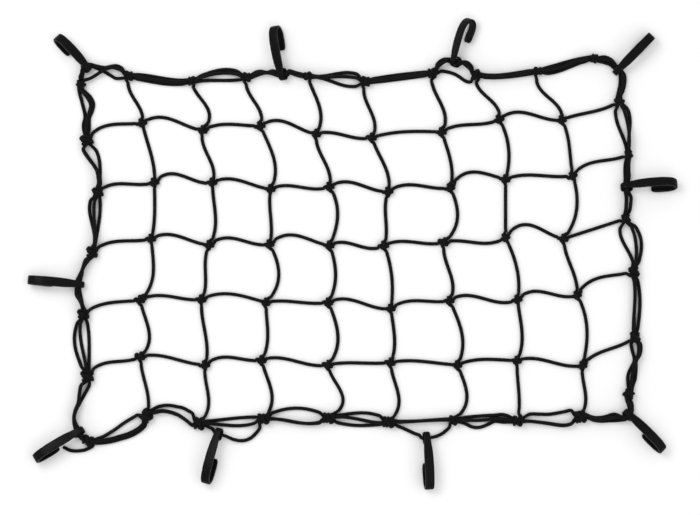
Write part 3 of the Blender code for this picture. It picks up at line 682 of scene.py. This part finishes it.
def hookShape():
    line = hookCentreLine()
    shape = bmesh.new()
    edge = shape.verts.layers.float.new("edge")
    rings = []
    for index, (x, _, z, width, thickness) in enumerate(line):
        before = line[max(index - 1, 0), :3]
        after = line[min(index + 1, len(line) - 1), :3]
        way = unit(after - before)
        out = np.array((-way[2], 0.0, way[0]))
        ends = min(index, len(line) - 1 - index)
        shrink = hookSizes["endTaper"][ends] if ends < len(hookSizes["endTaper"]) else 1.0
        ring = []
        for across, outward, corner in stripSection(width * (0.5 + shrink / 2), thickness * shrink):
            vertex = shape.verts.new(np.array((x, across, z)) + out * outward)
            vertex[edge] = corner
            ring.append(vertex)
        rings.append(ring)
    for first, second in zip(rings, rings[1:]):
        for step in range(len(first)):
            following = (step + 1) % len(first)
            shape.faces.new((first[step], first[following], second[following], second[step]))
    shape.faces.new(rings[0])
    shape.faces.new(rings[-1])
    bmesh.ops.recalc_face_normals(shape, faces=shape.faces)
    return shape


hooks = (  # its place, the lashing before it, outer and inner end, lean in degrees, cords through the eye
    ("top_left", "L0", (-489, 356.5), (-433, 301), -19, (1, 0)),
    ("top_west", "T3", (-126, 375.5), (-114, 286), 27, (0, 1, 2)),
    ("top_east", "T6", (198, 385.5), (166, 308), 48, (1, 2)),
    ("top_right", "T9", (493, 360), (430.5, 296.5), 0, (0, 1, 2)),
    ("right", "R2", (534.5, 113), (441, 110), 27, (0, 1, 2)),
    ("bottom_right", "R6", (510.5, -325), (447, -258), 16, (0, 1, 2)),
    ("bottom_east", "B6", (125, -388), (121, -293), 11, (1,)),
    ("bottom_west", "B3", (-240.5, -378.5), (-219, -287), -19, (1,)),
    ("bottom_left", "L6", (-523, -339.5), (-443, -288), -16, (0, 1, 2)),
    ("left", "L4", (-535, -43), (-442, -51), -5, (0, 1, 2)),
)


def placedHook(outer, inner, lean, shape):
    apart = spot(*outer) - spot(*inner)
    heading = unit(apart)
    stretch = np.linalg.norm(apart) / hookSizes["length"]
    turn = Matrix.Rotation(math.atan2(heading[1], heading[0]), 4, "Z")
    turn = turn @ Matrix.Rotation(math.radians(-lean), 4, "X")
    turn = turn @ Matrix.Diagonal((stretch, 1.0, 1.0, 1.0))
    eye = Vector((hookSizes["eyeLength"] / 2, 0.0, hookSizes["eyeHeight"] / 2))
    upright = turn @ Matrix.Translation(-eye)
    lowest = min((upright @ vertex.co).z for vertex in shape.verts)
    centre = Vector(spot(*inner) + heading * stretch * hookSizes["eyeLength"] / 2) - Vector((0, 0, lowest))
    placing = Matrix.Translation(centre) @ upright
    return {"placing": placing, "centre": centre, "turn": turn, "heading": heading}


def addHook(name, placing, shape):
    mesh = bpy.data.meshes.new(name)
    shape.to_mesh(mesh)
    mesh.transform(Matrix.Scale(millimetre, 4) @ placing)
    mesh.shade_smooth()
    mesh.materials.append(hookPlastic)
    return newObject(name, mesh)


def makeHooks():
    shape = hookShape()
    made = []
    for name, after, outer, inner, lean, held in hooks:
        hook = placedHook(outer, inner, lean, shape)
        piece = addHook("moulded_" + name, hook["placing"], shape)
        hook.update(node="hook_" + name, after=after, held=held, piece=piece)
        made.append(hook)
    shape.free()
    return made


madeHooks = makeHooks()
print(len(madeHooks), "hooks moulded")


# Border: three cords side by side, squeezed together in each lashing.

border = {"squeezed": 2.5, "across": (-2.5, 2.5, 0.0), "height": (6.1, 6.1, 10.2), "beyond": 3.0,
          "clear": 13.0, "ease": 24.0, "curve": 90.0, "frozen": (6.5, 9.5), "highest": 17.0, "resting": 0.98,
          "spacing": 2.4, "smoothings": 5, "sides": 14}
inEye = {"thicker": 0.2, "offWall": 0.1, "apart": 0.15, "beside": 1.6, "clear": 6.0}  # cords in a hook's eye


# Where a cord passes through a hook's eye, in order along the border.
def eyeStations(hook, cord):
    radius = border["squeezed"] + inEye["thicker"]
    rest = hookSizes["eyeWall"] - hookSizes["eyeHeight"] / 2 + radius + inEye["offWall"]
    apart = radius + inEye["apart"]
    upper = rest + math.sqrt(3) * apart
    lying = {1: ((0.0, rest),), 2: ((apart, rest), (-apart, rest)),
             3: ((-apart, rest), (apart, rest), (0.0, upper))}[len(hook["held"])]
    along, up = lying[hook["held"].index(cord)]
    found = []
    outside = hookSizes["eyeWidth"] / 2 + inEye["beside"]
    for reach in (outside, -outside):
        point = hook["centre"] + hook["turn"] @ Vector((along, reach, up))
        found.append((point.x, point.y, point.z, radius, elasticCord["spacing"]))
    return found


def borderStations(cord):
    names = list(places)
    start = names.index(tieName)
    order = names[start:] + names[:start + 1]
    stations = []
    fixed = []
    for number, name in enumerate(order):
        place = places[name]
        half = place["length"] / 2 - border["beyond"]
        for reach in (-half, half):
            point = place["centre"] + place["outward"] * border["across"][cord] + place["along"] * reach
            height = border["height"][cord]
            fixed.append((len(stations), height, border["frozen"][0]))
            stations.append((point[0], point[1], height, border["squeezed"], border["spacing"]))
        if number == len(order) - 1:
            break
        if name in cordRoutes:
            free = [lyingAt(spot(*point)) for point in cordRoutes[name][cord]]
        else:
            ends = (border["across"][cord], border["across"][cord])
            free = bowedStations(place["centre"], places[order[number + 1]]["centre"], edgeBows[name][cord],
                                 (border["clear"], border["clear"]), ends)
        for hook in madeHooks:
            if hook["after"] != name or cord not in hook["held"]:
                continue
            forward = -leftOf(hook["heading"])
            room = hookSizes["eyeWidth"] / 2 + inEye["clear"]
            centre = np.array(hook["centre"][:2])
            side = [float(np.dot(np.array(item[:2]) - centre, forward[:2])) for item in free]
            before = [item for item, away in zip(free, side) if away < -room]
            after = [item for item, away in zip(free, side) if away > room]
            held = eyeStations(hook, cord)
            for k, station in enumerate(held):
                fixed.append((len(stations) + len(before) + k, station[2], border["frozen"][1]))
            free = before + held + after
        stations += free
    return [(*item[:-1], border["spacing"]) for item in stations], fixed


def densified(run):
    pieces = [run[:-1] + (run[1:] - run[:-1]) * share for share in (0.0, 1 / 3, 2 / 3)]
    return np.vstack(pieces + [run[-1:]])


# Settles the heights of a border cord: lifted into each lashing and eye, lying between them,
# and over the cords that it crosses.
def laidCord(cord, lower):
    stations, fixed = borderStations(cord)
    run, marks = runThrough(stations)
    way = np.concatenate(((0.0,), np.cumsum(np.linalg.norm(np.diff(run[:, :2], axis=0), axis=1))))
    height = run[:, 3].copy()
    frozen = np.zeros(len(run), dtype=bool)
    for index, level, still in fixed:
        away = np.abs(way - way[marks[index]])
        share = np.clip(1 - away / border["ease"], 0, 1)
        height = np.maximum(height, run[:, 3] + (level - run[:, 3]) * share * share * (3 - 2 * share))
        frozen |= away < still - border["beyond"] / 2
    settled = height.copy()
    if lower:
        below = np.vstack([densified(item) for item in lower])
        for index in np.flatnonzero(~frozen):
            gap = np.hypot(below[:, 0] - run[index, 0], below[:, 1] - run[index, 1])
            reach = (below[:, 3] + run[index, 3]) * border["resting"]
            near = gap < reach
            if near.any():
                over = below[near, 2] + np.sqrt(reach[near] ** 2 - gap[near] ** 2)
                settled[index] = max(settled[index], over.max())
    humps = (settled[None, :] - (way[:, None] - way[None, :]) ** 2 / border["curve"]).max(axis=1)
    settled = np.where(frozen, height, np.minimum(humps, border["highest"]))
    for _ in range(border["smoothings"]):
        smooth = settled.copy()
        smooth[1:-1] = (settled[:-2] + 2 * settled[1:-1] + settled[2:]) / 4
        settled = np.where(frozen, settled, smooth)
    run[:, 2] = settled
    return run


borderRuns = []
for cord in range(3):
    borderRuns.append(laidCord(cord, borderRuns))
print("border laid, highest at", round(float(max(run[:, 2].max() for run in borderRuns)), 1), "mm")


# Lashings: a hitch of thin-drawn cord round the three border cords.

hitch = {"radius": 2.5, "spacing": 1.85, "beside": 3.0, "clear": 3.5, "middle": 7.2, "halfWidth": 8.5,
         "wind": 1.95, "height": 3.6, "sideways": 0.12, "startLift": 0.3,
         "unevenOut": 0.25, "unevenAlong": 0.3,
         "loop": ((-6.1, 6.4), (-4.6, 10.7), (0.0, 13.6), (4.6, 10.7),
                  (6.1, 6.4), (4.5, 2.6), (0.0, 2.3), (-4.5, 2.6))}
hitchEnd = (  # past the last turn, along, lift: the cord crosses over its own turns and is tucked in
    (0.12, -0.8, 0.8), (0.25, -0.1, 1.5), (0.38, 0.5, 1.2), (0.50, 0.8, 0.2), (0.60, 0.6, -0.5),
)


# Turns round the border, along it, and lift off it.
def hitchTurns(length, radius):
    turns = max(2, 1 + round((length - 2 * radius) / (hitch["wind"] * radius)))
    top = length / 2 - radius
    found = [(0.0, top, hitch["startLift"])]
    aTurn = len(hitch["loop"])
    for step in range(1, turns * aTurn + 1):
        gone = min(max((step / aTurn - 0.5) / (turns - 1), 0), 1)
        found.append((step / aTurn, top * (1 - 2 * gone), 0.0))
    return found + [(turns + past, top * along, radius * lift) for past, along, lift in hitchEnd]


def loopPoint(turn, half, radius):
    loop = hitch["loop"]
    place = (turn % 1.0) * len(loop)
    first = int(place)
    share = place - first
    here = np.array(loop[first % len(loop)])
    there = np.array(loop[(first + 1) % len(loop)])
    wide = (half - radius) / (hitch["halfWidth"] - hitch["radius"])
    return (here + (there - here) * share) * (wide, 1.0)


def hitchStations(place, side, chance):
    radius = hitch["radius"] * (0.5 + 0.5 * place["half"] / hitch["halfWidth"])
    found = []
    for turn, along, lift in hitchTurns(place["length"], radius):
        point = loopPoint(turn, place["half"], radius)
        out = unit(point - np.array((0.0, hitch["middle"])))
        across, up = point + out * (lift + chance.uniform(-hitch["unevenOut"], hitch["unevenOut"]))
        along += chance.uniform(-hitch["unevenAlong"], hitch["unevenAlong"])
        spotHere = place["centre"] + place["outward"] * across + place["along"] * along * side
        found.append((spotHere[0], spotHere[1], max(up, radius), radius, hitch["spacing"]))
    return found


# Netting: each cord runs in steps, from one knot to the next.

sheetBend = {"radius": 3.05, "spacing": 1.7, "reach": 10.0, "clear": 13.5, "height": 3.3, "drawn": 0.93,
             "aim": 14.0, "turn": 0.12, "size": (1.09, 1.17), "lift": 1.08}
bight = (  # toward the upper right, toward the upper left, height: the loop that the other cord goes through
    (5.4, 3.1, 4.6), (2.0, 2.4, 5.4), (-1.4, 2.8, 5.5), (-3.7, 2.2, 5.4), (-4.6, 0.0, 5.3),
    (-3.7, -2.2, 5.4), (-1.4, -2.8, 5.5), (2.0, -2.4, 5.4), (5.4, -3.1, 4.6),
)
working = (  # the cord that is bent round it
    (-5.2, 5.6, 4.8), (-2.4, 3.5, 8.6), (-0.7, 0.4, 8.7), (0.5, -2.8, 8.9), (1.4, -4.5, 6.4),
    (2.2, -4.3, 3.4), (2.7, -2.2, 2.4), (2.9, 0.2, 2.3), (2.7, 2.6, 2.4), (2.5, 4.5, 4.2), (2.1, 4.4, 7.6),
    (1.3, 2.5, 10.4), (-0.8, 0.9, 11.0), (-2.6, -0.4, 8.6), (-3.3, -1.3, 5.2), (-4.5, -3.3, 2.8),
)


# The centre of a lashing, given by its name, or of an inner knot, given by its row and column.
def centreOf(name):
    if isinstance(name, str):
        return places[name]["centre"]
    return spot(*meshKnots[name[0]][name[1]])


def readStrands():
    lines = []
    for row, bows in enumerate(rowBows):
        inner = [(row, column) for column in range(8)]
        lines.append(("row", row, ["L%d" % (row + 1), *inner, "R%d" % (row + 1)], bows))
    for column, bows in enumerate(columnBows):
        inner = [(row, column) for row in range(5)]
        lines.append(("column", column, ["T%d" % (column + 1), *inner, "B%d" % (column + 1)], bows))
    strands = {}
    for kind, number, names, bows in lines:
        for step, (start, end) in enumerate(zip(names, names[1:])):
            strands[kind, number, step] = (start, end, centreOf(start), centreOf(end), bows[step])
    return strands


strands = readStrands()


# The place on a strand that is this far from one of its ends.
def pointBeside(key, fromStart, reach):
    _, _, start, end, bows = strands[key]
    share = reach / np.linalg.norm(end - start)
    return bowedPoint(start, end, bows, share if fromStart else 1 - share)


def leaving(key, fromStart):
    knot = strands[key][2 if fromStart else 3]
    return unit(pointBeside(key, fromStart, sheetBend["aim"]) - knot)


# A station where a strand lies free again, beside the knot that it leaves or comes to.
def freeStation(key, fromStart, reach, height):
    point = pointBeside(key, fromStart, reach)
    return (point[0], point[1], height, elasticCord["radius"] * sheetBend["drawn"], sheetBend["spacing"])


def knotStations(row, column, table, chance, arriving, departing):
    centre = centreOf((row, column))
    up = leaving(("column", column, row), False)
    right = leaving(("row", row, column + 1), True)
    toward = unit(up + right)
    toward = unit(toward + leftOf(toward) * chance.uniform(-sheetBend["turn"], sheetBend["turn"]))
    size = chance.uniform(*sheetBend["size"])
    found = [freeStation(arriving, False, sheetBend["reach"], sheetBend["height"])]
    for ahead, aside, height in table:
        point = centre + (toward * ahead + leftOf(toward) * aside) * size
        lifted = height * sheetBend["lift"]
        found.append((point[0], point[1], lifted, sheetBend["radius"], sheetBend["spacing"]))
    found.append(freeStation(departing, True, sheetBend["reach"], sheetBend["height"]))
    return found


def hitchFor(name, key, fromStart):
    place = places[name]
    lean = float(np.dot(leaving(key, fromStart), place["along"]))
    chance = random.Random(name)
    side = math.copysign(1, lean) if abs(lean) > hitch["sideways"] else chance.choice((-1, 1))
    free = freeStation(key, fromStart, place["half"] + hitch["beside"], hitch["height"])
    return [free] + hitchStations(place, side, chance)


# Follows one cord from the border to the border.
def steppedCord(key):
    stations = hitchFor(strands[key][0], key, True)[::-1]
    while True:
        start, end, here, there, bows = strands[key]
        clear = [places[name]["half"] + hitch["beside"] + hitch["clear"] if isinstance(name, str)
                 else sheetBend["clear"] for name in (start, end)]
        stations += bowedStations(here, there, bows, clear)
        if isinstance(end, str):
            stations += hitchFor(end, key, False)
            return runThrough(stations)[0]
        row, column = end
        chance = random.Random(row * 8 + column)
        if key[0] == "column":
            following = ("row", row, column + 1)
            stations += knotStations(row, column, bight, chance, key, following)
        else:
            following = ("column", column, row + 1)
            stations += knotStations(row, column, working, chance, key, following)
        key = following


def makeNetting():
    runs = [steppedCord(("column", column, 0)) for column in range(8)]
    runs += [steppedCord(("row", row, 0)) for row in range(5)]
    for name in ("L0", "T9", "R6"):
        runs.append(runThrough(hitchStations(places[name], 1, random.Random(name)))[0])
    runs.append(borderRuns[0])
    return sweptCords("nettingCord", [finishedRun(run) for run in runs], elasticCord["sides"], nettingSheath)


netting = makeNetting()


# Border cord: two rounds, and the tie that ends in the cut tail.

# From the start of the tail, the places that the end of the tie passes, and its radius there.
tieEnd = (((2.8, 8.0, -1.0), 2.5), ((2.6, 4.0, -0.6), 2.6), ((1.0, 1.0, 0.0), 2.75), ((-0.5, -0.3, 0.0), 2.8))


# The tie is a hitch whose end comes out under the border and runs on as the cut tail.
def tieStations():
    turns = hitchStations(places[tieName], -1, random.Random(tieName))
    for offset, radius in tieEnd:
        turns.append((*(tailPath[0, :3] + offset), radius, hitch["spacing"]))
    return turns


def makeBorder():
    runs = [borderRuns[1], borderRuns[2], runThrough(tieStations())[0]]
    return sweptCords("borderCord", [finishedRun(run) for run in runs], border["sides"], borderSheath)


borderPiece = makeBorder()


# Floor and light.

studio = {"floorSize": 9.0, "floorTones": ((0.86, 0.86, 0.86, 1), (0.875, 0.875, 0.873, 1)),
          "floorCloud": 0.8, "floorLevels": (0.3, 0.7), "floorRoughness": 0.85, "world": 0.84,
          "key": {"place": (-1.3, 1.1, 2.5), "size": 1.5, "power": 30.0},
          "fill": {"place": (1.5, -1.0, 2.6), "size": 3.0, "power": 20.0}}


def addFloor():
    bpy.ops.mesh.primitive_plane_add(size=studio["floorSize"], location=(0, 0, 0))
    floor = bpy.context.object
    floor.name = "floor"
    material, tree, surface, place = startMaterial("paleFloor")
    cloudy = noise(tree, place, studio["floorCloud"], detail=2.0)
    tone = spread(tree, cloudy, *studio["floorLevels"], 0.0, 1.0)
    plug(tree, surface.inputs["Base Color"], mixed(tree, tone, *studio["floorTones"]))
    surface.inputs["Roughness"].default_value = studio["floorRoughness"]
    floor.data.materials.append(material)


def addLight(name, setting):
    data = bpy.data.lights.new(name, "AREA")
    data.shape = "SQUARE"
    data.size = setting["size"]
    data.energy = setting["power"]
    light = newObject(name, data)
    light.location = setting["place"]
    light.rotation_euler = (-Vector(setting["place"])).to_track_quat("-Z", "Y").to_euler()
    light.visible_camera = False


def addWorld():
    world = bpy.data.worlds.new("softStudio")
    world.use_nodes = True
    sky = world.node_tree.nodes["Background"]
    sky.inputs["Color"].default_value = (1.0, 1.0, 1.0, 1)
    sky.inputs["Strength"].default_value = studio["world"]
    bpy.context.scene.world = world


bpy.context.scene.view_settings.view_transform = "Standard"
addFloor()
addLight("keyLight", studio["key"])
addLight("fillLight", studio["fill"])
addWorld()
print("floor and light placed")


# Each piece takes the place of a part: that part is hidden, and the piece hangs from the root body.

def declare(piece, node):
    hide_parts(node)
    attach(piece, "root")


declare(netting, "netting")
declare(borderPiece, "border_cord")
declare(tail, "cord_tail")
for hook in madeHooks:
    declare(hook["piece"], hook["node"])
